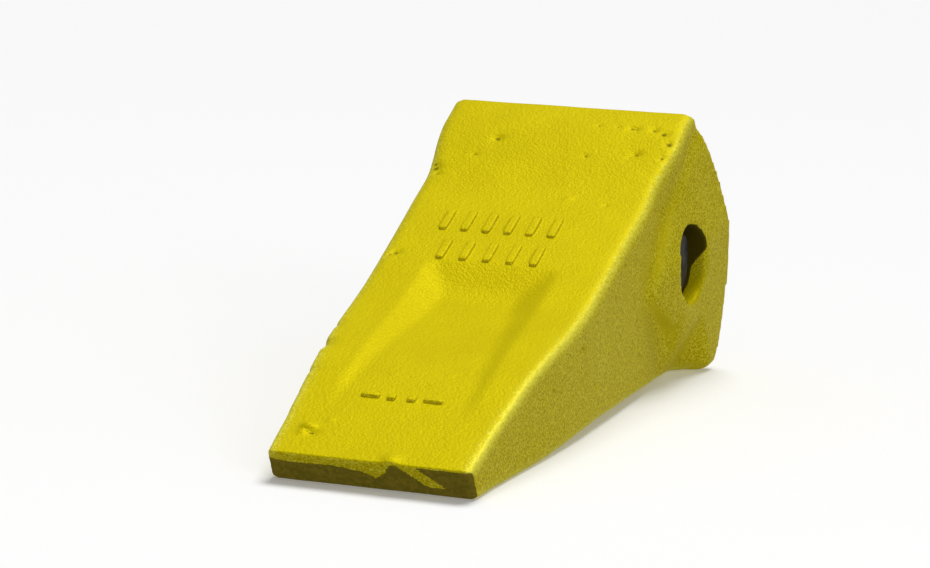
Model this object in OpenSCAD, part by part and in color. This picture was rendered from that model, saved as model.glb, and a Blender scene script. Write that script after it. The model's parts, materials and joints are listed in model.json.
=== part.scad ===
// Excavator bucket tooth with its retaining pin.
// X runs across the tooth, the tip points to -Y, and the tooth lies on its lower face.
// The origin is the middle of its footprint, on the ground. All sizes are in millimetres.

/* [Wedge] */
// Distance from the pin axis to the tip, along the tooth
tip_reach = 260; // [245:5:275]
// Width of the digging edge
tip_w = 80; // [72:1:88]
// Thickness of the digging edge
tip_t = 12; // [10:0.5:15]
// How far the lower corner of the digging edge lies behind the upper one
tip_lean = 5; // [0:0.5:7]
// Width of the body where the sides begin to flare
body_w = 95.5; // [92:0.5:99]
// How far each side swells beyond a straight line along the middle of the body
side_swell = 5.5; // [4:0.5:6]
// How far the upper face dips below a straight line along the middle of the body
face_dip = 8.5; // [6:0.5:9]
// Distance from the pin axis forward to the start of the flare
flare_front = 32; // [28:1:36]
// Length of the flare
flare_len = 44; // [36:1:50]
// How far each side steps out over the flare
flare_out = 8; // [6:0.5:10]

/* [Rear end] */
// Height at the rear corners
rear_h = 122; // [118:1:126]
// Distance from the pin axis back to the rear corners
rear_reach = 29; // [26:1:31]
// Distance from the pin axis back to the crown of the ears
ear_reach = 50; // [46:1:52]

/* [Ears] */
// Width over the ears at the pin axis
ear_w = 128; // [125:1:131]
// Angle at which each ear's face opens towards the rear, in degrees
ear_tilt = 6; // [4:0.5:7]
// Half the length of the lozenge pad around the pin bore
pad_reach = 36; // [33:1:39]
// Half the height of the lozenge pad
pad_rise = 40; // [37:1:43]
// Width of the upright rim behind the pad
rim_w = 24; // [22:1:28]
// Diameter of the pin bore
bore_d = 34.5; // [34.4:0.1:35.5]

/* [Nose socket] */
// Distance from the pin axis forward to the flat stop at the bottom of the socket
socket_reach = 105; // [98:1:110]
// Length of the straight lands beside the stop
land_len = 25; // [20:1:30]
// Width of the socket at the stop
stop_w = 64; // [58:1:68]
// Height of the socket at the stop
stop_h = 38; // [34:1:40]
// Width of the socket at the pin axis
mid_w = 84; // [80:1:88]
// Height of the socket at the pin axis
mid_h = 80; // [76:1:84]

/* [Face scoop] */
// Width of the scoop in each broad face
scoop_w = 56; // [48:1:60]
// Distance from the pin axis forward to the scoop's deep end
scoop_back = 99; // [95:1:105]
// Distance from the pin axis forward to the scoop's shallow end
scoop_front = 228; // [215:1:235]
// Depth at the deep end
scoop_deep = 4.5; // [3:0.5:5]
// Width of the sloping bank at the deep end
scoop_bank = 13; // [10:1:16]

/* [Retaining pin] */
// Diameter of the pin
pin_d = 30; // [29:0.5:30]
// Length of the pin
pin_len = 116; // [110:1:118]
// Chamfer at each end of the pin
pin_chamfer = 2.5; // [1.5:0.5:3]
// Depth of the shallow neck
neck_deep = 1.2; // [0.8:0.2:1.6]

/* [Lock] */
// Width of the pocket in the pin
pocket_w = 12; // [11:0.5:13]
// Length of the pocket
pocket_len = 78; // [74:1:80]
// Thickness of the rubber cushion
cushion_t = 6; // [5:0.5:6.5]
// Height of the tongue's crest above the pin
crest = 2; // [1.5:0.1:2]
// Gap between the tongue and the pocket's walls
tongue_gap = 0.5; // [0.4:0.1:0.8]

/* [Hidden] */
$fn = 64;
corner_n = 6;
tip_r = 2.5;
rear_r = 8;
overrun = 8;
big = 400;
middle_rear = 45;
middle_fade = 70;
swell_len = 130;
dip_front = 205;
dip_len = 90;

// Slope of the broad faces, and the tooth's pitch when it lies on one of them
slope = (rear_h - tip_t) / 2 / (rear_reach + tip_reach);
pitch = atan(slope);
// Slope of the sides in plan
side_slope = (body_w - tip_w) / 2 / (tip_reach - flare_front);

// The rear arc passes through both rear corners and the crown of the ears
arc_sag = ear_reach - rear_reach;
arc_r = (pow(rear_h / 2, 2) + pow(arc_sag, 2)) / (2 * arc_sag);

// Place of the pin axis over the middle of the footprint
front_y = -tip_reach * cos(pitch) - tip_t / 2 * sin(pitch);
rear_y = (ear_reach - arc_r) * cos(pitch) + arc_r;
pin_y = -(front_y + rear_y) / 2;
pin_z = line_z(0) * cos(pitch);

// Ears: where they rise from the sides, the flank around the pad, and the rim's lean
ear_root = body_w / 2 - 2;
ear_core = ear_root - 8;
pad_flank = 7;
pad_tip = 4;
rim_corner_x = body_w / 2 + flare_out - 1;
rim_top = rear_h / 2 - 3;
rim_mid = pad_rise * 0.6;
rim_ramp = 10;
rim_front = ear_reach - rim_w;
rim_stations = [[rim_front - rim_ramp, rim_corner_x - 1], [rim_front, ear_w / 2 + 3],
    [ear_reach + overrun, ear_w / 2 + 6]];

// Socket: draft of the straight lands, how far each side opens from the pin to the mouth, corner radii
land_draft = 1;
mouth_out = 4;
socket_r = [5, 6, 9, 11];

// Scoop: steepness of its end bank, and how far its cutter stands above the face
end_share = 0.8;
scoop_lift = 6;

// Centre mark in the end of the pin: depth and radius at the surface
mark_deep = 2;
mark_r = 3;

// Layout of the lock along the pin and across it
pocket_x = 6;
crest_x = -5;
neck_x = [-27, -5];
pocket_floor = 3.5;
tongue_foot = pocket_floor + cushion_t;
crest_r = pin_d / 2 + crest;
tongue_end_z = 13.2;

function smooth(t) = let (u = max(0, min(1, t))) u * u * (3 - 2 * u);
function line_z(y) = tip_t / 2 + slope * (y + tip_reach);
function before_ears(y) = 1 - smooth((y + middle_rear) / middle_fade);
function face_z(y) = line_z(y) - face_dip * smooth((y + dip_front) / dip_len) * before_ears(y);
function flare(y) = flare_out * smooth((y + flare_front) / flare_len);
function swell(y) = side_swell * smooth((y + tip_reach) / swell_len) * before_ears(y);
function side_x(y) = tip_w / 2 + side_slope * (y + tip_reach) + swell(y) + flare(y);
function corner_r(y) = tip_r + (rear_r - tip_r) * smooth((y + tip_reach) / tip_reach);

// One rounded rectangle across the tooth: [y, half width, height above and depth below, corner radius]
function corner(s, sx, sz, a) =
    [sx * (s[1] - s[4]) + s[4] * cos(a), s[0], sz * ((sz > 0 ? s[2] : s[3]) - s[4]) + s[4] * sin(a)];
function ring(s) = [for (q = [0:3]) for (i = [0:corner_n])
    corner(s, q == 0 || q == 3 ? 1 : -1, q < 2 ? 1 : -1, 90 * (q + i / corner_n))];

// A solid through a list of rings, each turning anticlockwise as seen from the first ring's side
module skin(rings) {
    n = len(rings[0]);
    last = len(rings) - 1;
    points = [for (r = rings) each r];
    sides = [for (k = [0:last - 1]) for (i = [0:n - 1])
        let (a = k * n + i, b = k * n + (i + 1) % n) each [[a, b, b + n], [a, b + n, a + n]]];
    front = [for (i = [n - 1:-1:0]) i];
    rear = [for (i = [0:n - 1]) last * n + i];
    polyhedron(points = points, faces = concat([front], sides, [rear]));
}

// Moves a solid from the pin axis to where that axis lies on the ground
module on_pin_axis() {
    translate([0, pin_y, pin_z]) children();
}

// Turns a solid from the tooth's own axis to the way the tooth lies
module at_rest() {
    on_pin_axis() rotate([pitch, 0, 0]) children();
}

// Extrudes an outline drawn in Y and Z along X, from X = 0 out
module along_x(length) {
    rotate([90, 0, 90]) linear_extrude(length) children();
}

// Everything in front of the rear arc
module rear_arc() {
    translate([-big / 2, ear_reach - arc_r, 0]) along_x(big) circle(arc_r, $fn = 360);
    translate([-big / 2, -big, -big / 2]) cube([big, big + rear_reach - arc_sag, big]);
}

module wedge() {
    dip_stations = [for (i = [0:3]) -dip_front + dip_len * i / 3];
    flare_stations = [for (i = [0:5]) -flare_front + flare_len * i / 5];
    stations = concat([-tip_reach - overrun, -tip_reach, (-tip_reach - dip_front) / 2], dip_stations,
        [-(dip_front - dip_len + middle_rear) / 2, -middle_rear], flare_stations,
        [middle_fade - middle_rear, ear_reach + overrun]);
    intersection() {
        skin([for (y = stations) ring([y, side_x(y), face_z(y), line_z(y), corner_r(y)])]);
        rear_arc();
        tip_cut();
    }
}

// Everything behind the leaning front face of the digging edge
module tip_cut() {
    lean = atan(tip_lean / tip_t);
    translate([0, -tip_reach, tip_t / 2]) rotate([lean, 0, 0])
        translate([-big / 2, 0, -big / 2]) cube([big, big, big]);
}

// Lozenge pad and upright rim of the right ear, cut off by the ear's tilted face
module ear() {
    intersection() {
        union() {
            skin([lozenge(ear_root, pad_flank), lozenge(ear_w / 2 + pad_flank, -pad_flank)]);
            skin([for (s = rim_stations) rim_ring(s[0], s[1])]);
        }
        translate([ear_w / 2, 0, 0]) rotate([0, 0, -ear_tilt])
            translate([-big, -big / 2, -big / 2]) cube([big, big, big]);
        rear_arc();
    }
}

// Outline of the pad at a given x, larger by grow all round except at the rear
function lozenge(x, grow) = let (tip = pad_tip + grow / 3, reach = pad_reach + grow, rise = pad_rise + grow,
    rear = ear_reach + overrun)
    [[x, -reach, -tip], [x, -reach, tip], [x, -tip, rise], [x, rear, rise], [x, rear, -rise], [x, -tip, -rise]];

// Upright outline of the rim at a given y: it leans in from the crown to both corners
function rim_ring(y, crown_x) =
    [[ear_core, y, -rim_top], [rim_corner_x, y, -rim_top], [crown_x, y, -rim_mid],
    [crown_x, y, rim_mid], [rim_corner_x, y, rim_top], [ear_core, y, rim_top]];

// Space for the adapter's nose: straight lands beside the stop, then a taper to the mouth
module nose_socket() {
    mouth = ear_reach + overrun;
    land = socket_reach - land_len;
    taper = (mid_h - stop_h - 2 * land_draft) / 2 / land;
    sections = [[-socket_reach, stop_w / 2, stop_h / 2, socket_r[0]],
        [-land, stop_w / 2 + land_draft, stop_h / 2 + land_draft, socket_r[1]],
        [0, mid_w / 2, mid_h / 2, socket_r[2]],
        [mouth, mid_w / 2 + mouth_out, mid_h / 2 + taper * mouth, socket_r[3]]];
    skin([for (s = sections) ring([s[0], s[1], s[2], s[2], s[3]])]);
}

module pin_bore() {
    rotate([0, 90, 0]) cylinder(d = bore_d, h = 2 * ear_w, center = true);
}

// Shallow scoop in a broad face that dips by that much, deepest at the rear, running out to the front
module face_scoop(dip) {
    end_bank = scoop_bank * end_share;
    z_back = line_z(-scoop_back) - dip;
    z_deep = line_z(-scoop_back - end_bank) - dip - scoop_deep;
    z_front = line_z(-scoop_front);
    w = scoop_w / 2;
    floor_w = w - scoop_bank;
    lift = scoop_lift;
    points = [[-w, -scoop_back, z_back], [w, -scoop_back, z_back],
        [floor_w, -scoop_back - end_bank, z_deep], [-floor_w, -scoop_back - end_bank, z_deep],
        [-w, -scoop_front, z_front], [w, -scoop_front, z_front],
        [-w, -scoop_back, z_back + lift], [w, -scoop_back, z_back + lift],
        [-w, -scoop_front, z_front + lift], [w, -scoop_front, z_front + lift]];
    faces = [[3, 2, 1, 0], [2, 5, 1], [3, 4, 5, 2], [0, 4, 3],
        [1, 7, 6, 0], [5, 9, 7, 1], [4, 8, 9, 5], [0, 6, 8, 4], [7, 9, 8, 6]];
    polyhedron(points = points, faces = faces);
}

// Steel casting: wedge, two ears, nose socket open to the rear, cross bore
module tooth_casting() {
    color([0.80, 0.74, 0.02]) at_rest() difference() {
        union() {
            wedge();
            for (m = [0, 1]) mirror([m, 0, 0]) ear();
        }
        nose_socket();
        pin_bore();
        face_scoop(face_dip);
        mirror([0, 0, 1]) face_scoop(0);
    }
}

// Turned pin with a shallow neck, chamfered ends and a pocket for the lock
module retaining_pin() {
    r = pin_d / 2;
    half = pin_len / 2;
    step = neck_deep * 2;
    profile = [[0, -half], [r - pin_chamfer, -half], [r, -half + pin_chamfer],
        [r, neck_x[0] - step], [r - neck_deep, neck_x[0]], [r - neck_deep, neck_x[1]],
        [r, neck_x[1] + step], [r, half - pin_chamfer], [r - pin_chamfer, half], [0, half]];
    color([0.34, 0.34, 0.36]) on_pin_axis() difference() {
        rotate([0, 90, 0]) rotate_extrude($fn = 96) polygon(profile);
        translate([pocket_x - pocket_len / 2, -pocket_w / 2, pocket_floor])
            cube([pocket_len, pocket_w, pin_d]);
        translate([half - mark_deep, 0, 0]) rotate([0, 90, 0])
            cylinder(r1 = 0, r2 = mark_r * 1.25, h = mark_deep * 1.25, $fn = 32);
    }
}

// Rubber block bonded to the floor of the pocket
module lock_cushion() {
    color([0.08, 0.08, 0.08]) on_pin_axis()
        translate([pocket_x - pocket_len / 2, -pocket_w / 2, pocket_floor])
            cube([pocket_len, pocket_w, cushion_t]);
}

// Steel tongue bonded on the rubber, with a crest that stands above the pin
module lock_tongue() {
    first = pocket_x - pocket_len / 2 + tongue_gap;
    last = pocket_x + pocket_len / 2 - tongue_gap;
    steps = 12;
    function rise(t) = tongue_end_z + (crest_r - tongue_end_z) * smooth(t);
    up = [for (i = [0:steps]) [first + (crest_x - first) * i / steps, rise(i / steps)]];
    down = [for (i = [1:steps]) [crest_x + (last - crest_x) * i / steps, rise(1 - i / steps)]];
    outline = concat([[first, tongue_foot]], up, down, [[last, tongue_foot]]);
    color([0.42, 0.42, 0.44]) on_pin_axis() intersection() {
        translate([0, pocket_w / 2 - tongue_gap, 0]) rotate([90, 0, 0])
            linear_extrude(pocket_w - 2 * tongue_gap) polygon(outline);
        rotate([0, 90, 0]) cylinder(r = crest_r, h = pin_len, center = true);
    }
}

tooth_casting();
retaining_pin();
lock_cushion();
lock_tongue();
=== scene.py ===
import json
import math

import bmesh
import bpy
import numpy as np
from mathutils import Matrix, Vector, noise


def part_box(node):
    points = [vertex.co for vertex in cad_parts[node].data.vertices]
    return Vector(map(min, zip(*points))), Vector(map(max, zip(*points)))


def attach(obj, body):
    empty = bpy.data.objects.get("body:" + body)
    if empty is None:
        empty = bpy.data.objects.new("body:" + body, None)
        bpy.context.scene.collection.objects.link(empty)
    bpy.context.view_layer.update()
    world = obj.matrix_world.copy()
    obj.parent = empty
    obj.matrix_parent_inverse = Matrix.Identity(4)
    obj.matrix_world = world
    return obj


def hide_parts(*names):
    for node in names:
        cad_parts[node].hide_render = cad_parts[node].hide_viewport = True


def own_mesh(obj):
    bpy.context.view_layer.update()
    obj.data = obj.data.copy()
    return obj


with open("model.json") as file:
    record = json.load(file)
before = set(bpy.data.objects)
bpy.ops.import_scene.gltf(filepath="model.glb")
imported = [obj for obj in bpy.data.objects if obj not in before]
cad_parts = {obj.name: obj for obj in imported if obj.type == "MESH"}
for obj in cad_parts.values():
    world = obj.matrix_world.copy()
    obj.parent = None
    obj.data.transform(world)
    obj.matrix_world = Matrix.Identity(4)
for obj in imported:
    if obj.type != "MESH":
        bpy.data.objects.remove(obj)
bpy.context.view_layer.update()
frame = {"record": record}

# ---------------------------------------------------------------- tooth casting: outer skin
# The tooth is one piece of alloy steel, cast in sand: a blunt wedge with two flared ears at the rear.
# This is its outside, in millimetres from the pin's axis: X across, Y from the digging edge to the rear,
# Z upward, square to the tooth's own middle plane.

MM = 0.001
TIP_REACH = 260.0
TIP_WIDTH = 80.0
TIP_THICK = 12.0
TIP_LEAN = 5.0
SIDE_SLOPE = 0.034
SIDE_SWELL, SWELL_LENGTH, SWELL_END, SWELL_FADE = 5.5, 130.0, -45.0, 70.0
FACE_DIP, LOW_DIP = 8.5, 3.6
DIP_FROM, DIP_LENGTH = -205.0, 90.0
FLARE_TOP = (7.0, -32.0, 44.0)      # out, start, length
FLARE_LOW = (11.0, 8.0, 16.0)
FLARE_WAIST = 0.6
REAR_HEIGHT = 122.0
REAR_REACH = 29.0
EAR_REACH = 50.0
EAR_HALF = 64.0
EAR_OPENING = math.tan(math.radians(6.0))
EAR_LEAN, LEAN_FROM, LEAN_ROUND = 0.2, 5.0, 6.0
EAR_LEAN_FRONT, LEAN_FRONT_FROM, LEAN_FRONT_LENGTH = 0.1, 20.0, 40.0
EAR_BEND, BEND_FROM, BEND_ROUND = 0.13, -17.0, 8.0
PAD_OUTLINE = ((8.0, -42.0), (-45.0, -2.0), (-10.0, 27.0), (34.0, 47.0))
PAD_CORNER_ROUND = 3.0
PAD_FLANK = 5.0
PAD_FLANK_REAR, FLANK_FROM, FLANK_LENGTH = 20.0, -26.0, 30.0
PAD_STEP, PAD_LOW_STEP = 1.2, 4.3
LOW_FROM, LOW_FADE = 4.0, 16.0
APRON_LOW, APRON_FRONT, APRON_TOP, APRON_ROUND = 0.16, 0.34, 0.22, 1.0
RIM_FRONT, RIM_FLANK, RIM_HEIGHT, RIM_FADE = 23.0, 4.0, -26.0, 8.0
EDGE_MARGIN = 1.0
VALLEY, LOW_VALLEY = 14.0, 4.0
UNDER_PAD, UNDER_ROUND, UNDER_TOP, UNDER_FADE = 0.25, 2.0, 8.0, 12.0
UNDER_PAD_REAR, UNDER_FROM, UNDER_LENGTH = 0.25, -25.0, 20.0
COLLAR_ROUND = 2.5
FACE_SLOPE = (REAR_HEIGHT - TIP_THICK) / 2 / (REAR_REACH + TIP_REACH)
REAR_SAG = EAR_REACH - REAR_REACH
REAR_RADIUS = ((REAR_HEIGHT / 2) ** 2 + REAR_SAG ** 2) / (2 * REAR_SAG)
TIP_ROUND, ROUND_LENGTH = 2.0, 200.0
REAR_ROUND, LOW_ROUND, LOW_ROUND_REAR = 5.0, 3.2, 7.0
LOW_ROUND_FROM, LOW_ROUND_LENGTH = 5.0, 20.0
SCOOP_BACK, SCOOP_LENGTH, SCOOP_TOE = 99.0, 129.0, 14.0
SCOOP_HALF = 28.0
SCOOP_DEEP = 4.5
SCOOP_BANK, SCOOP_ROUND = 0.36, 1.5
SCOOP_END_BANK, SCOOP_END_ROUND = 0.22, 2.5
ACROSS, UPWARD, STATIONS = 70, 76, 190
EVEN_SHARE = 0.6

pin_low, pin_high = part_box("retaining_pin")
pin_axis = (pin_low + pin_high) / 2
mounts = {m["name"]: m for m in frame["record"]["mounts"]}
along = Vector(mounts["nose_socket"]["axis"]).normalized()
square_up = Vector((1, 0, 0)).cross(along)
TOOTH = Matrix(((MM, 0, 0, 0), (0, along.y * MM, square_up.y * MM, pin_axis.y),
                (0, along.z * MM, square_up.z * MM, pin_axis.z), (0, 0, 0, 1)))


def ease(t):
    t = np.clip(t, 0.0, 1.0)
    return t * t * (3 - 2 * t)


def soft_max(a, b, width):
    """The larger of two values, rounded over about that width where they meet."""
    h = np.clip(0.5 + 0.5 * (a - b) / width, 0, 1)
    return b + (a - b) * h + 0.5 * width * h * (1 - h)


def face_z(y, side=1):
    """Height of the upper broad face, or depth of the lower one where side is negative."""
    dip = ease((y - DIP_FROM) / DIP_LENGTH) * (1 - ease((y - SWELL_END) / SWELL_FADE))
    deepest = np.where(np.asarray(side) > 0, FACE_DIP, LOW_DIP)
    return TIP_THICK / 2 + FACE_SLOPE * (y + TIP_REACH) - deepest * dip


def rear_y(z):
    return EAR_REACH - REAR_RADIUS + np.sqrt(np.maximum(REAR_RADIUS ** 2 - z ** 2, 0))


def tip_y(z):
    return -TIP_REACH + TIP_LEAN * (0.5 - z / TIP_THICK)


def beyond(y, z, start, end):
    """Distance to the left of the line from start to end, in the plane of the ear."""
    run, rise = end[0] - start[0], end[1] - start[1]
    return ((z - start[1]) * run - (y - start[0]) * rise) / math.hypot(run, rise)


def pad_edges(y, z):
    """Distance outside each of the pad's three edges: low, front and top."""
    return [beyond(y, z, a, b) for a, b in zip(PAD_OUTLINE, PAD_OUTLINE[1:])]


def ear_x(y, z):
    """Half width of the tooth: wedge side, flare, pad round the bore, apron round the pad, upright rim."""
    swell = ease((y + TIP_REACH) / SWELL_LENGTH) * (1 - ease((y - SWELL_END) / SWELL_FADE))
    wedge = TIP_WIDTH / 2 + SIDE_SLOPE * (y + TIP_REACH) + SIDE_SWELL * swell
    edge = np.clip(z / face_z(y, z), -1, 1)
    out, start, length = FLARE_TOP
    flare = out * (FLARE_WAIST + (1 - FLARE_WAIST) * edge ** 2) * ease((y - start) / length)
    out, start, length = FLARE_LOW
    low_flare = out * ease((y - start) / length)
    collar = wedge + flare + (low_flare - flare) * ease(0.5 - edge)
    lean = EAR_LEAN + EAR_LEAN_FRONT * ease((LEAN_FRONT_FROM - y) / LEAN_FRONT_LENGTH)
    plane = EAR_HALF + EAR_OPENING * y - lean * soft_max(z - LEAN_FROM, 0, LEAN_ROUND)
    plane = plane - EAR_BEND * soft_max(BEND_FROM - y, 0, BEND_ROUND)
    low, front, top = pad_edges(y, z)
    outside = soft_max(low, front, PAD_CORNER_ROUND)
    lowness = ease((LOW_FROM - z) / LOW_FADE)
    flank = PAD_FLANK + PAD_FLANK_REAR * ease((y - FLANK_FROM) / FLANK_LENGTH) * lowness
    drop = soft_max(APRON_LOW * low, APRON_FRONT * front, APRON_ROUND)
    drop = soft_max(drop, APRON_TOP * top, APRON_ROUND)
    step = (PAD_STEP + PAD_LOW_STEP * lowness) * ease(outside / flank)
    ear = plane - step - np.maximum(drop, 0)
    rim = (1 - ease((RIM_FRONT - y) / RIM_FLANK)) * ease((RIM_HEIGHT - z) / RIM_FADE)
    below_edge = face_z(y, z) - np.abs(z) + EDGE_MARGIN
    under_slope = UNDER_PAD + UNDER_PAD_REAR * ease((y - UNDER_FROM) / UNDER_LENGTH)
    under = collar + under_slope * below_edge
    ear = ear + (-soft_max(-ear, -under, UNDER_ROUND) - ear) * ease((UNDER_TOP - z) / UNDER_FADE)
    held = np.where(z > 0, ease(below_edge / VALLEY), np.maximum(ease(below_edge / LOW_VALLEY), rim))
    ear = ear + (plane - ear) * rim
    return soft_max(collar + (ear - collar) * held, collar, COLLAR_ROUND)


def scoop(x, y):
    """Depth of the shallow scoop in each broad face, with a sloping bank round its deep end."""
    floor = SCOOP_DEEP * (1 - (-y - SCOOP_BACK - SCOOP_TOE) / (SCOOP_LENGTH - SCOOP_TOE))
    bank = SCOOP_BANK * (SCOOP_HALF - np.abs(x))
    end = SCOOP_END_BANK * (-y - SCOOP_BACK)
    shallow = soft_max(soft_max(-floor, -bank, SCOOP_ROUND), -end, SCOOP_END_ROUND)
    return np.maximum(-shallow, 0.0)


def spread(count):
    """Steps from -1 to 1 that are closer together near both ends."""
    s = np.linspace(-1, 1, count + 1)
    return EVEN_SHARE * s + (1 - EVEN_SHARE) * np.sin(math.pi / 2 * s)


def mesh_object(name, points, faces):
    mesh = bpy.data.meshes.new(name)
    mesh.from_pydata([tuple(p) for p in points], [], faces)
    made = bpy.data.objects.new(name, mesh)
    bpy.context.scene.collection.objects.link(made)
    return made


def ring_faces(rings, count):
    """Quads between closed rings of points."""
    return [(k * count + i, k * count + (i + 1) % count,
             (k + 1) * count + (i + 1) % count, (k + 1) * count + i)
            for k in range(rings - 1) for i in range(count)]


def cap(points, faces, start):
    """Closes one ring with a grid of quads, ruled straight across from side to side."""
    count = 2 * ACROSS + 2 * UPWARD
    grid = np.zeros((UPWARD + 1, ACROSS + 1), int)
    grid[0] = start + np.arange(ACROSS + 1)
    grid[UPWARD] = start + 2 * ACROSS + UPWARD - np.arange(ACROSS + 1)
    for i in range(1, UPWARD):
        left, right = start + (count - i) % count, start + ACROSS + i
        grid[i, 0], grid[i, ACROSS] = left, right
        for j in range(1, ACROSS):
            grid[i, j] = len(points)
            points.append(points[left] + (points[right] - points[left]) * j / ACROSS)
    for i in range(UPWARD):
        for j in range(ACROSS):
            faces.append((grid[i, j], grid[i, j + 1], grid[i + 1, j + 1], grid[i + 1, j]))


def outward(obj):
    """Merges doubles and turns every face outward."""
    work = bmesh.new()
    work.from_mesh(obj.data)
    bmesh.ops.remove_doubles(work, verts=work.verts, dist=1e-7)
    bmesh.ops.recalc_face_normals(work, faces=work.faces)
    work.to_mesh(obj.data)
    work.free()


def settled(obj):
    """Replaces the object's mesh by what its modifiers make of it."""
    graph = bpy.context.evaluated_depsgraph_get()
    mesh = bpy.data.meshes.new_from_object(obj.evaluated_get(graph))
    obj.modifiers.clear()
    obj.data = mesh


sideways, upward = spread(ACROSS), spread(UPWARD)
u = np.concatenate([sideways[:-1], np.ones(UPWARD), -sideways[:-1], -np.ones(UPWARD)])
v = np.concatenate([np.ones(ACROSS), -upward[:-1], -np.ones(ACROSS), upward[:-1]])
broad = np.abs(v) > 0.9999
skin = []
for t in np.linspace(0, 1, STATIONS):
    start = tip_y(v * TIP_THICK / 2)
    y = start
    for _ in range(6):   # the rear arc depends on the height, and the height on y
        y = start + (rear_y(v * face_z(y, v)) - start) * t
    half_z = face_z(y, v)
    z = v * half_z
    half_x = ear_x(y, z)
    x = u * half_x
    low_round = LOW_ROUND + (LOW_ROUND_REAR - LOW_ROUND) * ease((y - LOW_ROUND_FROM) / LOW_ROUND_LENGTH)
    rounding = np.where(v > 0, REAR_ROUND, low_round)
    radius = TIP_ROUND + (rounding - TIP_ROUND) * ease((y + TIP_REACH) / ROUND_LENGTH)
    core_x = np.clip(x, radius - half_x, half_x - radius)
    core_z = np.clip(z, radius - half_z, half_z - radius)
    reach = np.maximum(np.hypot(x - core_x, z - core_z), 1e-9)
    x, z = core_x + (x - core_x) / reach * radius, core_z + (z - core_z) / reach * radius
    skin.append(np.stack([x, y, z - np.sign(v) * broad * scoop(x, y)], 1))
points = list(np.concatenate(skin))
faces = ring_faces(STATIONS, len(u))
cap(points, faces, 0)
cap(points, faces, (STATIONS - 1) * len(u))
casting = mesh_object("tooth_body", points, faces)
outward(casting)

# ---------------------------------------------------------------- tooth casting: nose socket and cross bore
# A sand core leaves the tapered socket that the adapter's nose fills, and another leaves the bore for the
# pin. The sand gives every edge a small radius and the surface its grain. Sections are (y, half width,
# half height, corner radius).

SOCKET_SECTIONS = ((-105, 32, 19, 5), (-80, 33, 20, 6), (0, 42, 40, 9), (62, 46.3, 55.5, 11))
BORE_RADIUS = 17.25
LEAD_IN, CORE_HALF = 65.2, 75.0
GRAIN_SIZE = 1.3 * MM
SAND_WAVES = ((0.020, 0.16), (0.007, 0.05), (0.0035, 0.03))


def cut(obj, cutter):
    """Takes the cutter's shape out of the object."""
    outward(cutter)
    cutter.data.transform(TOOTH)
    tool = obj.modifiers.new("cut", "BOOLEAN")
    tool.operation, tool.solver, tool.object = "DIFFERENCE", "EXACT", cutter
    settled(obj)
    bpy.data.objects.remove(cutter)


def rounded_section(half_w, half_h, radius, steps=8):
    """Corners of a rounded rectangle, as (across, up) pairs in one turn."""
    turns = [(sx, sz, 90 * q + 90 * i / steps)
             for q, (sx, sz) in enumerate(((1, 1), (-1, 1), (-1, -1), (1, -1))) for i in range(steps + 1)]
    return [(sx * (half_w - radius) + radius * math.cos(math.radians(a)),
             sz * (half_h - radius) + radius * math.sin(math.radians(a))) for sx, sz, a in turns]


def lofted(name, sections):
    """A closed solid through rounded sections given as (y, half width, half height, corner radius)."""
    rings = [[(x, s[0], z) for x, z in rounded_section(*s[1:])] for s in sections]
    count = len(rings[0])
    faces = ring_faces(len(rings), count) + [tuple(range(count))]
    faces.append(tuple((len(rings) - 1) * count + i for i in range(count)))
    return mesh_object(name, [p for ring in rings for p in ring], faces)


def turned(name, profile, steps):
    """A solid turned about the X axis from (along, radius) pairs, closed at both ends."""
    angles = [2 * math.pi * i / steps for i in range(steps)]
    points = [(x, r * math.cos(a), r * math.sin(a)) for x, r in profile for a in angles]
    faces = ring_faces(len(profile), steps) + [tuple(range(steps))]
    faces.append(tuple((len(profile) - 1) * steps + i for i in range(steps)))
    return mesh_object(name, points, faces)


casting.data.transform(TOOTH)
cut(casting, lofted("socket_core", SOCKET_SECTIONS))
cone_radius = BORE_RADIUS + CORE_HALF - LEAD_IN
cut(casting, turned("bore_core", [(-CORE_HALF, cone_radius), (-LEAD_IN, BORE_RADIUS),
                                  (LEAD_IN, BORE_RADIUS), (CORE_HALF, cone_radius)], 96))
grain = casting.modifiers.new("grain", "REMESH")
grain.mode, grain.voxel_size = "VOXEL", GRAIN_SIZE
soften = casting.modifiers.new("soften", "SMOOTH")
soften.factor, soften.iterations = 0.5, 3
settled(casting)

# ---------------------------------------------------------------- tooth casting: marks of casting and use
# Sand inclusions leave small pits, rough handling leaves chips on the long edges, and a riser stub stands
# near the digging edge. A mark is (x, y, side, radius, depth), or (y, z, ...) on the right side, and
# stands out where its depth is negative. A chip is (y, radius, depth) on the left long edge.

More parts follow.
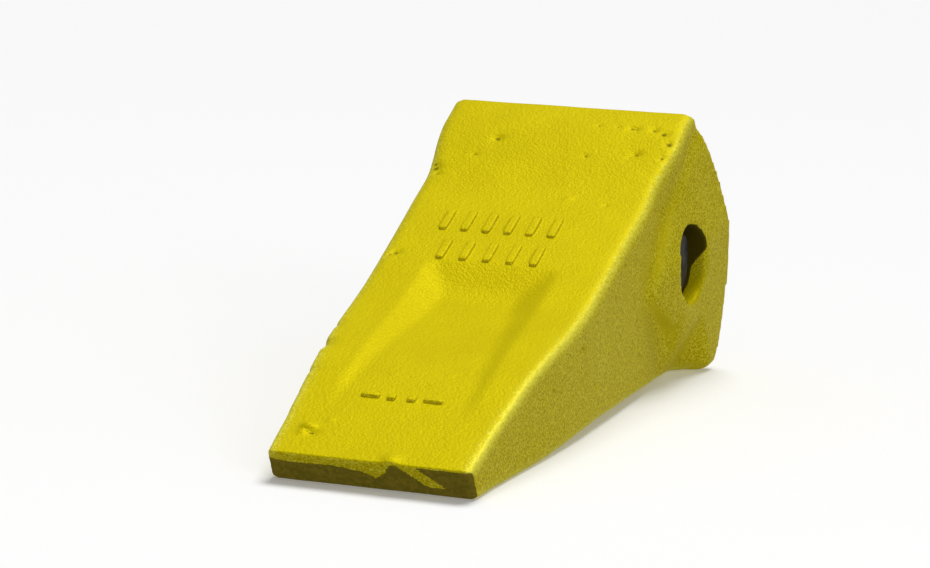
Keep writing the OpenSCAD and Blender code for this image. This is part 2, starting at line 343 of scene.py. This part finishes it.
TOP, RIGHT = 1, 2
MARKS = ((-27, -1, TOP, 2.2, 0.9), (-34, -13, TOP, 1.6, 0.4), (16, -9, TOP, 1.5, 0.4),
         (38, -5, TOP, 2.0, 0.9), (36, -7.5, TOP, 1.2, 0.5), (16.5, 13.5, TOP, 1.3, 0.4),
         (25, 13.4, TOP, 1.1, 0.3),
         (31.5, 13, TOP, 1.6, 0.5), (34, 12.8, TOP, 1.5, 0.5), (42, 12.6, TOP, 1.8, 0.8),
         (34, -43, TOP, 1.3, 0.4), (47, 10, TOP, 2.4, 0.5), (51, 3, TOP, 2.6, 0.6), (50, -7, TOP, 1.7, 0.4),
         (-49, -24, TOP, 2.4, 1.0), (-47, -28, TOP, 1.6, 0.7), (-50, -21, TOP, 1.4, 0.5),
         (-44, -96, TOP, 2.0, 0.9), (-46, -98, TOP, 1.3, 0.5), (16, -40, TOP, 1.5, -0.4),
         (-29.8, -242, TOP, 2.2, -1.9), (-27.2, -245, TOP, 1.8, 0.9), (-31, -246, TOP, 1.5, -0.7),
         (-23, -236, TOP, 1.3, -0.5), (44, -258, TOP, 2.0, -0.8), (8, -257, TOP, 3.0, -1.1),
         (-10, -200, TOP, 1.2, -0.3), (12, -196, TOP, 1.4, -0.3), (5, -206, TOP, 1.1, 0.3),
         (-78, 25, RIGHT, 1.5, 0.9), (-124, -12, RIGHT, 1.5, 0.8), (-139, 10, RIGHT, 1.8, 0.8),
         (-135, 8, RIGHT, 1.3, 0.5), (-29, 33, RIGHT, 1.5, 0.7), (-17, 31, RIGHT, 1.4, 0.6),
         (-13, 30.5, RIGHT, 1.3, 0.6), (-31, 28, RIGHT, 1.5, -0.6), (-33, 23, RIGHT, 1.3, -0.5),
         (-62, 40, RIGHT, 2.0, 0.5), (-180, -9, RIGHT, 1.3, 0.5), (-95, -20, RIGHT, 1.2, 0.4))
CHIPS = ((-162, 2.2, 0.9), (-179, 2.6, 1.5), (-183, 2.0, 1.0), (-203, 1.8, 0.6))
CHIP_REACH = 4.0
PIT_FACING = 0.55


def coordinates(mesh, key, width=3):
    values = np.zeros(len(mesh) * width, np.float32)
    mesh.foreach_get(key, values)
    return values.reshape(-1, width).astype(float)


def surveyed(mesh):
    """Places and normals of a mesh's points, in the room and in the tooth's own millimetres."""
    place, normal = coordinates(mesh.vertices, "co"), coordinates(mesh.vertices, "normal")
    back = np.array(TOOTH.inverted())
    return place, normal, place @ back[:3, :3].T + back[:3, 3], normal @ np.array(TOOTH.to_3x3()) / MM


def to_ridge(x, y, z):
    """Distance from the long corner between a broad face and a side."""
    top = face_z(y, z)
    return np.hypot(ear_x(y, np.clip(z, -top, top)) - np.abs(x), top - np.abs(z))


def pit_shape(local, facing, a, b, side, radius):
    across, height = (0, 2) if side == TOP else (1, 0)
    other = 1 if side == TOP else 2
    away = np.hypot(local[:, across] - a, local[:, other] - b)
    return np.exp(-(away / radius) ** 2) * (facing[:, height] > PIT_FACING)


place, normal, local, facing = surveyed(casting.data)
x, y, z = local.T
push = np.zeros(len(local))
for wave, depth in SAND_WAVES:
    push += depth * np.array([noise.noise(Vector(p) / wave) for p in place])
for a, b, side, radius, depth in MARKS:
    push -= depth * pit_shape(local, facing, a, b, side, radius)
left_top = np.exp(-(to_ridge(x, y, z) / CHIP_REACH) ** 2) * (x < 0) * (z > 0)
for b, radius, depth in CHIPS:
    push -= depth * np.exp(-((y - b) / radius) ** 2) * left_top
casting.data.vertices.foreach_set("co", (place + normal * push[:, None] * MM).astype(np.float32).ravel())

# ---------------------------------------------------------------- tooth casting: raised marks
# The foundry's raised marks on the upper face are plain bars and dots here. Each is a small drafted block
# of the same casting, standing about a millimetre proud.

BAR_WIDTH, BAR_HEIGHT = 3.6, 2.4
# Each row is its name, count, pitch, width, length, and the x and y of its middle.
ROWS = (("long_bars", 6, 9.6, BAR_WIDTH, 17.0, -6.3, -66.0),
        ("short_bars", 5, 10.2, BAR_WIDTH, 16.0, -3.8, -90.5),
        ("dashes", 2, 25.0, 7.5, 2.0, -1.0, -217.0),
        ("dots", 2, 8.0, 3.4, 3.4, -1.0, -217.0))


def raised_row(name, count, pitch, width, length, x, y):
    """A row of bars along X on the upper face, made by a node tree with named sizes."""
    tree = bpy.data.node_groups.new(name, "GeometryNodeTree")
    tree.interface.new_socket("Geometry", in_out="OUTPUT", socket_type="NodeSocketGeometry")
    sizes = {"Count": count, "Pitch": pitch * MM, "Width": width * MM, "Length": length * MM,
             "Height": BAR_HEIGHT * MM}
    for key in sizes:
        kind = "NodeSocketInt" if key == "Count" else "NodeSocketFloat"
        tree.interface.new_socket(key, in_out="INPUT", socket_type=kind)
    node, link = tree.nodes.new, tree.links.new
    given, result = node("NodeGroupInput"), node("NodeGroupOutput")
    size, step, bar = node("ShaderNodeCombineXYZ"), node("ShaderNodeCombineXYZ"), node("GeometryNodeMeshCube")
    for axis, key in zip("XYZ", ("Width", "Length", "Height")):
        link(given.outputs[key], size.inputs[axis])
        bar.inputs["Vertices " + axis].default_value = 4
    link(size.outputs[0], bar.inputs["Size"])
    soft = node("GeometryNodeSubdivisionSurface")
    soft.inputs["Level"].default_value = 2
    link(bar.outputs[0], soft.inputs["Mesh"])
    line = node("GeometryNodeMeshLine")
    link(given.outputs["Count"], line.inputs["Count"])
    link(given.outputs["Pitch"], step.inputs["X"])
    link(step.outputs[0], line.inputs["Offset"])
    many, solid, finish = (node("GeometryNodeInstanceOnPoints"), node("GeometryNodeRealizeInstances"),
                           node("GeometryNodeSetMaterial"))
    link(line.outputs[0], many.inputs["Points"])
    link(soft.outputs[0], many.inputs["Instance"])
    link(many.outputs[0], solid.inputs[0])
    link(solid.outputs[0], finish.inputs[0])
    link(finish.outputs[0], result.inputs[0])
    row = mesh_object(name, [], [])
    maker = row.modifiers.new("row", "NODES")
    maker.node_group = tree
    for item in tree.interface.items_tree:
        if item.in_out == "INPUT":
            maker[item.identifier] = sizes[item.name]
    settled(row)
    tilt = Matrix.Rotation(math.atan(FACE_SLOPE), 4, "X")
    lie = TOOTH @ Matrix.Translation((x, y, float(face_z(y) - scoop(x, y)))) @ tilt
    centred = Matrix.Translation(((1 - count) * pitch * MM / 2, 0, 0))
    row.data.transform(lie @ Matrix.Scale(1 / MM, 4) @ centred)
    return row


rows = [raised_row(*row) for row in ROWS]
with bpy.context.temp_override(active_object=rows[0], selected_editable_objects=rows):
    bpy.ops.object.join()
outward(rows[0])
raise_marks = casting.modifiers.new("marks", "BOOLEAN")
raise_marks.operation, raise_marks.solver, raise_marks.object = "UNION", "EXACT", rows[0]
settled(casting)
bpy.data.objects.remove(rows[0])
outward(casting)
for face in casting.data.polygons:
    face.use_smooth = True

# ---------------------------------------------------------------- tooth casting: where the paint stops
# The digging edge was dipped short of paint, with two runs down it. The bore and the inside of the socket
# were never painted, except where the yellow reaches into the lower rear of the bore: partly paint, partly a
# painted lit patch of the bore wall. The bare bore and socket are darkened as painted shade, the pits are
# darker, and a painted highlight runs along the long edges and the pad's front edge.

PAINT_EDGE = ((-40, 3.8), (-28, 4.6), (-14, 4.0), (-3, 5.6), (2, 8.2), (6, 5.0), (8, 0.8), (11, 0.6),
              (40, 0.8))
RUN_START, RUN_SLANT, RUN_HALF, RUN_LENGTH = 13.0, 1.25, 3.6, 10.0
# How far the yellow reaches into the lower rear of the bore: partly paint, partly a painted lit patch.
BORE_LIT_PATCH_DEPTH = 7.0
PAINT_IN_SOCKET, SOCKET_FADE = 4.0, 16.0
SOCKET_SKIN = 0.8
# Widths and share of the painted highlight along the long edges and along the pad's front edge.
RIDGE_HIGHLIGHT_WIDTH, PAD_HIGHLIGHT_WIDTH, PAD_HIGHLIGHT_SHARE = 4.2, 2.2, 0.45

place, normal, local, facing = surveyed(casting.data)
x, y, z = local.T
below = np.maximum(face_z(y) - z, 0)
from_run = np.abs(x - RUN_START - RUN_SLANT * below)
run = (1 - ease((from_run - RUN_HALF + 1) / 2)) * (1 - ease((below - RUN_LENGTH + 1) / 2))
digging = 1 - ease((y - tip_y(z) - 0.4) / 1.6)
bare_edge = digging * ease((below - np.interp(x, *zip(*PAINT_EDGE)) + 0.8) / 1.6) * (1 - run)
sections = np.array(SOCKET_SECTIONS, float)
inside = ((np.abs(x) < np.interp(y, sections[:, 0], sections[:, 1]) + SOCKET_SKIN)
          & (np.abs(z) < np.interp(y, sections[:, 0], sections[:, 2]) + SOCKET_SKIN)
          & (y > sections[0, 0] - 2))
bare_socket = inside * ease((rear_y(z) - y - PAINT_IN_SOCKET) / SOCKET_FADE)
bare_bore = 1 - ease((np.hypot(y, z) - BORE_RADIUS - 0.2) / 0.9)
# Partly paint, partly a painted lit patch: the yellow reaches into the lower rear of the bore, where its wall
# catches light.
bore_lit_patch = BORE_LIT_PATCH_DEPTH * ease((4 - z) / 12) * ease((y + 8) / 10)
bare_bore = bare_bore * ease((EAR_HALF + EAR_OPENING * y - np.abs(x) - bore_lit_patch + 0.4) / 1.2)
# Darker in the pits that are dents.
pits_and_inner_shade = np.max([pit_shape(local, facing, *mark[:4]) * (mark[4] > 0) for mark in MARKS], axis=0)
low, front, top = pad_edges(y, z)
# Painted highlight: a bright line along the pad's front edge and along the long edges, where light catches
# the rounded corners.
pad_front_highlight = np.exp(-((front - 1) / PAD_HIGHLIGHT_WIDTH) ** 2) * (1 - ease(top / 4)) * (1 - ease((low + 6) / 6))
pad_front_highlight = pad_front_highlight * (np.abs(x) > 50)
long_edge = np.exp(-(to_ridge(x, y, z) / RIDGE_HIGHLIGHT_WIDTH) ** 2)
ridge_highlight = np.maximum(long_edge, PAD_HIGHLIGHT_SHARE * pad_front_highlight) * (1 - inside)
# Painted shade: the bare bore and the inside of the socket are darkened along with the pits.
pits_and_inner_shade = np.maximum.reduce([pits_and_inner_shade, bare_socket, bare_bore])
upright = ease((0.75 - np.abs(facing[:, 2])) / 0.5)
bare = np.maximum.reduce([bare_edge, bare_socket, bare_bore])
for name, values in (("bare", bare), ("pit_dark_and_inner_shade", pits_and_inner_shade), ("ridge_highlight", ridge_highlight), ("upright", upright)):
    layer = casting.data.attributes.new(name, "FLOAT", "POINT")
    layer.data.foreach_set("value", values.astype(np.float32))

# ---------------------------------------------------------------- tooth casting: paint
# Thick yellow shop paint over the sand grain: it is darker in the pits, carries a painted highlight along the
# long edges and the pad's front edge, and stops at the digging edge, the bore and the socket, where dark
# oiled casting shows, darkened further by painted shade inside the bore and socket.

PAINT = (0.78, 0.655, 0.003, 1)
# A paler paint, used for the grain and for the painted highlight on the edges.
PALE_GRAIN_AND_HIGHLIGHT = (0.95, 0.87, 0.08, 1)
PAINT_DEEP = (0.50, 0.385, 0.002, 1)
CAST_STEEL = (0.22, 0.18, 0.016, 1)
CAST_RUST = (0.34, 0.25, 0.025, 1)
# The darkest colour: it darkens the pits and is the painted shade inside the bore and socket.
PIT_DARK_AND_INNER_SHADE = (0.070, 0.052, 0.003, 1)
PAINT_BUMP = 0.00045


class Value:
    """A shader socket that adds its own Math nodes when it is used in an expression."""

    def __init__(self, shader, socket):
        self.shader, self.socket = shader, socket

    def math(self, operation, *others):
        return self.shader.node("ShaderNodeMath", {"operation": operation}, dict(enumerate((self, *others))))

    def __add__(self, other):
        return self.math("ADD", other)

    def __mul__(self, other):
        return self.math("MULTIPLY", other)

    def __sub__(self, other):
        return self.math("SUBTRACT", other)

    def __rsub__(self, other):
        return self * -1 + other

    __radd__, __rmul__ = __add__, __mul__

    def step(self, low, high):
        """A smooth step from 0 at low to 1 at high."""
        return self.shader.node("ShaderNodeMapRange", {"interpolation_type": "SMOOTHSTEP"},
                                {"Value": self, "From Min": low, "From Max": high})


class Finish:
    """One material. node() adds any node and gives its output back as a Value."""

    def __init__(self, name):
        self.material = bpy.data.materials.new(name)
        self.material.use_nodes = True
        self.tree = self.material.node_tree
        self.tree.nodes.clear()
        self.place = self.node("ShaderNodeTexCoord", output="Object")

    def node(self, kind, settings=(), inputs=(), output=0):
        made = self.tree.nodes.new(kind)
        for key, value in dict(settings).items():
            setattr(made, key, value)
        for key, value in dict(inputs).items():
            if isinstance(value, Value):
                self.tree.links.new(value.socket, made.inputs[key])
            else:
                made.inputs[key].default_value = value
        return None if output is None else Value(self, made.outputs[output])

    def noise(self, per_metre, detail=2.0, rough=0.5):
        return self.node("ShaderNodeTexNoise", (), {"Vector": self.place, "Scale": per_metre,
                                                    "Detail": detail, "Roughness": rough})

    def attribute(self, name):
        return self.node("ShaderNodeAttribute", {"attribute_name": name}, output="Fac")

    def mix(self, share, a, b):
        return self.node("ShaderNodeMix", {"data_type": "RGBA"}, {0: share, 6: a, 7: b}, output=2)

    def shine(self, height, depth, **sockets):
        """Ends the material in one Principled shader, over a bump of that height."""
        bump = self.node("ShaderNodeBump", (), {"Height": height, "Distance": depth, "Strength": 1.0})
        names = {key.replace("_", " "): value for key, value in sockets.items()}
        shader = self.node("ShaderNodeBsdfPrincipled", (), {**names, "Normal": bump})
        self.node("ShaderNodeOutputMaterial", (), {"Surface": shader}, output=None)
        return self.material


paint = Finish("yellow_shop_paint")
sand = paint.noise(900, 2.0, 0.6)
grit = paint.noise(1100, 2.0, 0.7)
coarse = paint.noise(480, 3.0, 0.6)
cloud = paint.noise(45, 3.0, 0.5)
bare = (paint.attribute("bare") + (coarse - 0.5) * 0.9).step(0.40, 0.60)
# Darker pits, and painted shade in the bore and socket.
pit_dark_and_inner_shade = (paint.attribute("pit_dark_and_inner_shade") + (sand - 0.5) * 0.5).step(0.55, 1.0)
# Painted highlight along the long edges and the pad's front edge, broken into bright flecks.
ridge_highlight = paint.attribute("ridge_highlight")
highlight_flecks = (ridge_highlight * 0.5 + sand).step(0.74, 0.94)
colour = paint.mix(cloud.step(0.25, 0.75) * 0.14, PAINT, PAINT_DEEP)
upright = paint.attribute("upright")
colour = paint.mix(sand.step(0.42, 0.72) * 0.15, colour, PAINT_DEEP)
colour = paint.mix(grit.step(0.50, 0.62) * upright * 0.85, colour, PAINT_DEEP)
colour = paint.mix((1 - grit).step(0.50, 0.62) * upright * 0.9, colour, PALE_GRAIN_AND_HIGHLIGHT)
colour = paint.mix(highlight_flecks * 0.8 + ridge_highlight * 0.2, colour, PALE_GRAIN_AND_HIGHLIGHT)
colour = paint.mix(pit_dark_and_inner_shade * 0.8, colour, PIT_DARK_AND_INNER_SHADE)
bare_metal = paint.mix(coarse.step(0.35, 0.75), CAST_STEEL, CAST_RUST)
# Painted shade on the bare metal inside the bore and socket, and darker pits.
bare_metal = paint.mix(paint.attribute("pit_dark_and_inner_shade") * 0.85, bare_metal, PIT_DARK_AND_INNER_SHADE)
paint_material = paint.shine(
    sand * 0.7 + coarse * 0.4 - bare * 0.4, PAINT_BUMP,
    Base_Color=paint.mix(bare, colour, bare_metal),
    Roughness=bare * 0.2 + sand * 0.15 + 0.38,
    Metallic=0.15, Specular_IOR_Level=0.02, Specular_Tint=(0.9, 0.75, 0.06, 1))
casting.data.materials.clear()
casting.data.materials.append(paint_material)
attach(casting, "tooth")
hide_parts("tooth_casting")

# ---------------------------------------------------------------- retaining pin
# A turned and ground steel pin, blackened and oiled: chamfered ends, a shallow neck, a centre mark, and a
# milled pocket for the lock. It is driven through the ears and the adapter from the side.

PIN_RADIUS = 15.0
PIN_HALF = 58.0
PIN_CHAMFER = 2.5
NECK_FROM, NECK_TO, NECK_DEEP = -27.0, -5.0, 1.2
POCKET_MIDDLE, POCKET_HALF, POCKET_HALF_WIDTH, POCKET_FLOOR = 6.0, 39.0, 6.0, 3.5
CENTRE_MARK_RADIUS, CENTRE_MARK_DEEP, CENTRE_FLAT = 3.0, 1.8, 0.6
PIN_PLACE = Matrix.Translation(pin_axis) @ Matrix.Scale(MM, 4)


def fillet(profile, radius, steps=4):
    """Rounds the inner corners of an open (along, across) line."""
    line = [profile[0]]
    for before, corner, after in zip(profile, profile[1:], profile[2:]):
        before, corner, after = (Vector(p) for p in (before, corner, after))
        back, ahead = before - corner, after - corner
        near = min(radius, back.length * 0.45, ahead.length * 0.45)
        a, b = corner + back.normalized() * near, corner + ahead.normalized() * near
        for i in range(steps + 1):
            t = i / steps
            line.append(tuple(a * (1 - t) ** 2 + corner * 2 * t * (1 - t) + b * t ** 2))
    return line + [profile[-1]]


def box_solid(name, low, high):
    corners = [(x, y, z) for x in (low[0], high[0]) for y in (low[1], high[1]) for z in (low[2], high[2])]
    sides = [(0, 1, 3, 2), (4, 6, 7, 5), (0, 4, 5, 1), (2, 3, 7, 6), (0, 2, 6, 4), (1, 5, 7, 3)]
    return mesh_object(name, corners, sides)


slope = 2 * NECK_DEEP
pin_profile = [(-PIN_HALF, CENTRE_FLAT), (-PIN_HALF, PIN_RADIUS - PIN_CHAMFER),
               (-PIN_HALF + PIN_CHAMFER, PIN_RADIUS),
               (NECK_FROM - slope, PIN_RADIUS), (NECK_FROM, PIN_RADIUS - NECK_DEEP),
               (NECK_TO, PIN_RADIUS - NECK_DEEP), (NECK_TO + slope, PIN_RADIUS),
               (PIN_HALF - PIN_CHAMFER, PIN_RADIUS), (PIN_HALF, PIN_RADIUS - PIN_CHAMFER),
               (PIN_HALF, CENTRE_MARK_RADIUS), (PIN_HALF - CENTRE_MARK_DEEP, CENTRE_FLAT)]
pin = turned("cross_pin", fillet(pin_profile, 0.7), 128)
pocket = box_solid("pocket_cutter", (POCKET_MIDDLE - POCKET_HALF, -POCKET_HALF_WIDTH, POCKET_FLOOR),
                   (POCKET_MIDDLE + POCKET_HALF, POCKET_HALF_WIDTH, 30))
outward(pin)
pin.data.transform(PIN_PLACE)
pocket.data.transform(TOOTH.inverted() @ PIN_PLACE)
cut(pin, pocket)
outward(pin)
for face in pin.data.polygons:
    face.use_smooth = True
pin.data.set_sharp_from_angle(angle=math.radians(35))

steel = Finish("blackened_pin_steel")
middle = steel.node("ShaderNodeSeparateXYZ", (), {"Vector": steel.place}, output="X")
rings = steel.node("ShaderNodeTexNoise", {"noise_dimensions": "1D"},
                   {"W": middle, "Scale": 3500.0, "Detail": 2.0})
smear = steel.noise(120, 3.0, 0.6)
speck = steel.noise(1500, 2.0, 0.6)
worn = (smear + speck * 0.6).step(0.55, 1.10)
steel_material = steel.shine(
    rings * 0.5 + speck * 0.5, 0.00005,
    Base_Color=steel.mix(worn, (0.022, 0.020, 0.017, 1), (0.095, 0.090, 0.080, 1)),
    Metallic=worn * 0.4 + 0.3,
    Roughness=smear * 0.15 + rings * 0.08 + 0.5, Specular_IOR_Level=0.06)
pin.data.materials.clear()
pin.data.materials.append(steel_material)
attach(pin, "pin")
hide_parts("retaining_pin")

# ---------------------------------------------------------------- rubber cushion
# A moulded block of hard black rubber, bonded to the floor of the pin's pocket and to the tongue above it.
# Its free sides are pulled in a little between the two bonds.

CUSHION_THICK = 6.0
CUSHION_CORNER = 1.5
CUSHION_WAIST = 0.25
CUSHION_GAP = 0.15
cushion_rings, layers = [], 10
for i in range(layers + 1):
    t = i / layers
    waist = CUSHION_WAIST * (4 * t * (1 - t)) + CUSHION_GAP * (2 * t - 1) ** 8
    section = rounded_section(POCKET_HALF - CUSHION_GAP - waist, POCKET_HALF_WIDTH - CUSHION_GAP - waist,
                              CUSHION_CORNER)
    cushion_rings.append([(POCKET_MIDDLE + x, y, POCKET_FLOOR + CUSHION_THICK * t) for x, y in section])
count = len(cushion_rings[0])
faces = ring_faces(layers + 1, count) + [tuple(range(count)), tuple(layers * count + i for i in range(count))]
cushion = mesh_object("rubber_cushion", [p for ring in cushion_rings for p in ring], faces)
outward(cushion)
cushion.data.transform(PIN_PLACE)
for face in cushion.data.polygons:
    face.use_smooth = len(face.vertices) == 4

rubber = Finish("hard_black_rubber")
bloom = rubber.noise(260, 3.0, 0.6)
pore = rubber.noise(2400, 2.0, 0.6)
rubber_material = rubber.shine(
    pore * 0.6 + bloom * 0.4, 0.00008,
    Base_Color=rubber.mix(bloom.step(0.4, 0.75), (0.022, 0.022, 0.022, 1), (0.060, 0.058, 0.054, 1)),
    Roughness=pore * 0.15 + 0.62)
cushion.data.materials.append(rubber_material)
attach(cushion, "pin")
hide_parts("lock_cushion")
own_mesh(cushion)

# ---------------------------------------------------------------- lock tongue
# A pressed steel tongue bonded on the rubber. Its crest stands two millimetres above the pin, catches in
# the adapter, and is pushed down as the pin is driven.

TONGUE_FOOT, TONGUE_END, TONGUE_CREST = 9.5, 13.2, 17.0
CREST_AT = -5.0
TONGUE_HALF_WIDTH = 5.5
TONGUE_ROUND = 0.8
TONGUE_GAP = 0.5
first, last = POCKET_MIDDLE - POCKET_HALF + TONGUE_GAP, POCKET_MIDDLE + POCKET_HALF - TONGUE_GAP


def tongue_top(x):
    side = first if x < CREST_AT else last
    return TONGUE_END + (TONGUE_CREST - TONGUE_END) * float(ease(1 - (x - CREST_AT) / (side - CREST_AT)))


tongue_rings = []
stations = np.concatenate([[first, first + 0.25, first + 0.8], np.linspace(first + 1.6, last - 1.6, 60),
                           [last - 0.8, last - 0.25, last]])
for x in stations:
    in_by = min(x - first, last - x)
    shrink = TONGUE_ROUND - math.sqrt(max(TONGUE_ROUND ** 2 - max(TONGUE_ROUND - in_by, 0) ** 2, 0))
    top = tongue_top(x) - shrink
    half = TONGUE_HALF_WIDTH - shrink
    section = rounded_section(half, (top - TONGUE_FOOT) / 2, min(TONGUE_ROUND, (top - TONGUE_FOOT) / 2.2), 5)
    ring = []
    for across, up in section:
        level = (top + TONGUE_FOOT) / 2 + up
        crown = math.sqrt(TONGUE_CREST ** 2 - across ** 2) - TONGUE_CREST
        ring.append((x, across, level + crown * (level - TONGUE_FOOT) / (top - TONGUE_FOOT)))
    tongue_rings.append(ring)
count = len(tongue_rings[0])
faces = ring_faces(len(tongue_rings), count) + [tuple(range(count))]
faces.append(tuple((len(tongue_rings) - 1) * count + i for i in range(count)))
tongue = mesh_object("spring_tongue", [p for ring in tongue_rings for p in ring], faces)
outward(tongue)
tongue.data.transform(PIN_PLACE)
for face in tongue.data.polygons:
    face.use_smooth = True
tongue.data.set_sharp_from_angle(angle=math.radians(40))

plate = Finish("worn_tongue_steel")
scuff = plate.node("ShaderNodeTexNoise", (), {
    "Vector": plate.node("ShaderNodeMapping", (), {"Vector": plate.place, "Scale": (60, 1200, 600)}),
    "Scale": 1.0, "Detail": 3.0})
stain = plate.noise(200, 3.0, 0.6)
height = plate.node("ShaderNodeSeparateXYZ", (), {"Vector": plate.place}, output="Z")
crest_z = pin_axis.z + TONGUE_CREST * MM
polished = height.step(crest_z - 0.003, crest_z - 0.0003)
tongue_material = plate.shine(
    scuff * 0.6 + stain * 0.4, 0.00006,
    Base_Color=plate.mix(polished * 0.8 + scuff * 0.2, (0.12, 0.115, 0.11, 1), (0.46, 0.45, 0.44, 1)),
    Metallic=0.9,
    Roughness=stain * 0.15 + scuff * 0.15 + 0.25 - polished * 0.08)
tongue.data.materials.append(tongue_material)
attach(tongue, "tongue")
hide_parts("lock_tongue")

# ---------------------------------------------------------------- studio
# A white sweep on the ground that glows faintly, a wide soft light overhead and a little behind, a soft
# panel in front to the right, and a camera a little above the tooth, in front and to its right.

SWEEP, SWEEP_GLOW = (0.97, 0.97, 0.97, 1), 0.14
KEY_FROM, KEY_STRENGTH, KEY_SPREAD = (0.15, 0.7, 1.9), 1.95, math.radians(35)
PANEL_FROM, PANEL_WATTS, PANEL_WIDTH = (1.5, -1.4, 0.7), 6, 1.0
ROOM_LIGHT = 0.26
sweep = mesh_object("sweep", [(-6, -4, 0), (6, -4, 0), (6, 8, 0), (-6, 8, 0)], [(0, 1, 2, 3)])
card = Finish("matt_white_card")
sweep.data.materials.append(card.shine(card.noise(300), 0.00002, Base_Color=SWEEP, Roughness=0.95,
                                       Specular_IOR_Level=0.1, Emission_Color=SWEEP,
                                       Emission_Strength=SWEEP_GLOW))
sweep.visible_diffuse = False


def soft_light(name, kind, towards, strength, width):
    """A wide soft light that shines from that direction onto the tooth."""
    light = bpy.data.lights.new(name, kind)
    light.energy = strength
    lamp = bpy.data.objects.new(name, light)
    lamp.location = Vector(towards)
    lamp.rotation_euler = Vector(towards).to_track_quat("Z", "Y").to_euler()
    if kind == "SUN":
        light.angle = width
    else:
        light.shape, light.size = "SQUARE", width
    bpy.context.scene.collection.objects.link(lamp)


soft_light("key_light", "SUN", KEY_FROM, KEY_STRENGTH, KEY_SPREAD)
soft_light("front_light", "AREA", PANEL_FROM, PANEL_WATTS, PANEL_WIDTH)
world = bpy.data.worlds.new("pale_room")
world.use_nodes = True
world.node_tree.nodes["Background"].inputs["Color"].default_value = (1, 1, 1, 1)
world.node_tree.nodes["Background"].inputs["Strength"].default_value = ROOM_LIGHT
bpy.context.scene.world = world
bpy.context.scene.view_settings.view_transform = "Standard"

AZIMUTH, ELEVATION, ROLL = math.radians(16.788), math.radians(9.315), math.radians(2.25)
TARGET, DISTANCE, LENS = Vector((0, -0.0397, 0.0609)), 1.0643, 102.44
ahead = Vector((-math.sin(AZIMUTH) * math.cos(ELEVATION), math.cos(AZIMUTH) * math.cos(ELEVATION),
                -math.sin(ELEVATION)))
level = ahead.cross(Vector((0, 0, 1))).normalized()
right = level * math.cos(ROLL) + level.cross(ahead) * math.sin(ROLL)
camera = bpy.data.objects.new("camera", bpy.data.cameras.new("camera"))
camera.data.lens = LENS
camera.matrix_world = Matrix.Translation(TARGET - ahead * DISTANCE) @ Matrix((
    right, right.cross(ahead), -ahead)).transposed().to_4x4()
bpy.context.scene.collection.objects.link(camera)
bpy.context.scene.camera = camera
